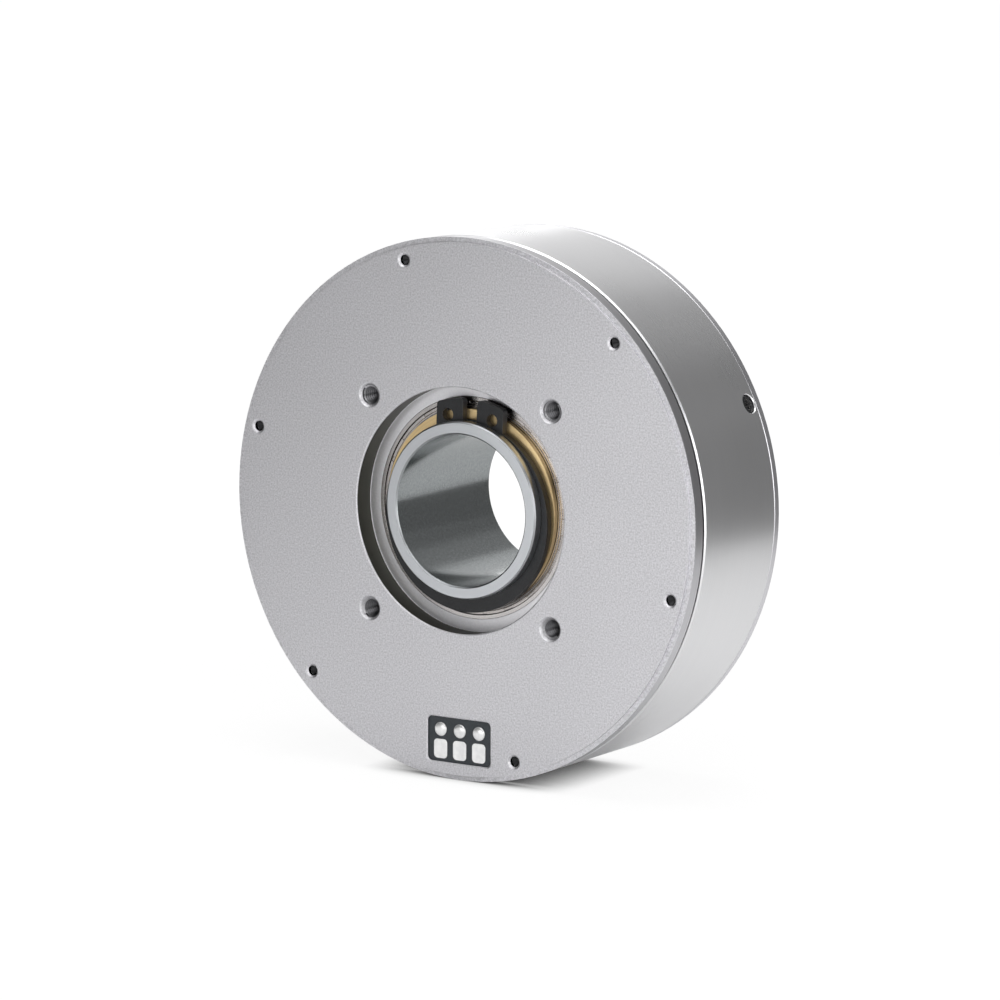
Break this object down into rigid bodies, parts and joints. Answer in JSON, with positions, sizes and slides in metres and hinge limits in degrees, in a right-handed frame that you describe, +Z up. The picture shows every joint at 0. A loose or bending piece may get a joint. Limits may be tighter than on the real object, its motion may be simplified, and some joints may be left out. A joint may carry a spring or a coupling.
{
  "type": "gimbal motor",
  "caption": "Flat outrunner gimbal motor with a hollow shaft, a still front mounting plate with terminal pads, and a turning can.",
  "frame": {"origin": "centre of the front mounting face, on the spin axis", "axes": "+Y along the spin axis from the mounting face into the motor, +Z up with the terminal window at the bottom, +X right as seen from the front"},
  "size_m": [0.107, 0.033, 0.107],
  "materials": {
    "blasted_aluminium": "fine blasted, clear anodised",
    "turned_aluminium": "fine turned, clear anodised",
    "turned_steel": "fine turned, plated",
    "shaft_steel": "ground",
    "bearing_steel": "ground and polished",
    "shield_steel": "pressed sheet",
    "core_steel": "stacked laminations",
    "copper_wire": "enamelled copper",
    "magnet": "nickel plated",
    "shim_brass": "satin",
    "black_steel": "blackened",
    "cage_plastic": "moulded nylon",
    "board": "black solder mask",
    "solder": "bright tin"
  },
  "bodies": {
    "stator": {"mounting_plate": "blasted_aluminium", "stator_core": "core_steel", "coils_phase_u": "copper_wire", "coils_phase_v": "copper_wire", "coils_phase_w": "copper_wire", "phase_leads": "copper_wire", "terminal_board": "board", "terminal_pads": "solder", "solder_joints": "solder", "front_bearing_outer_race": "bearing_steel", "front_bearing_shield": "shield_steel", "rear_bearing_outer_race": "bearing_steel", "rear_bearing_shield": "shield_steel"},
    "rotor": {"rotor_can": "turned_steel", "rotor_end_plate": "turned_aluminium", "hollow_shaft": "shaft_steel", "magnets_north": "magnet", "magnets_south": "magnet", "front_bearing_inner_race": "bearing_steel", "rear_bearing_inner_race": "bearing_steel", "shim_washer": "shim_brass", "retaining_ring": "black_steel", "can_screws": "black_steel"},
    "front_ball_set": {"front_bearing_balls": "bearing_steel", "front_bearing_cage": "cage_plastic"},
    "rear_ball_set": {"rear_bearing_balls": "bearing_steel", "rear_bearing_cage": "cage_plastic"}
  },
  "joints": [
    {"name": "rotor_spin", "type": "hinge", "parent": "stator", "child": "rotor", "pos_m": [0, 0.0145, 0], "axis": [0, 1, 0], "continuous": true},
    {"name": "front_ball_spin", "type": "hinge", "parent": "stator", "child": "front_ball_set", "pos_m": [0, 0.0075, 0], "axis": [0, 1, 0], "continuous": true},
    {"name": "rear_ball_spin", "type": "hinge", "parent": "stator", "child": "rear_ball_set", "pos_m": [0, 0.0215, 0], "axis": [0, 1, 0], "continuous": true}
  ],
  "couplings": [
    {"joint": "front_ball_spin", "follows": "rotor_spin", "ratio": 0.4646},
    {"joint": "rear_ball_spin", "follows": "rotor_spin", "ratio": 0.4646}
  ]
}
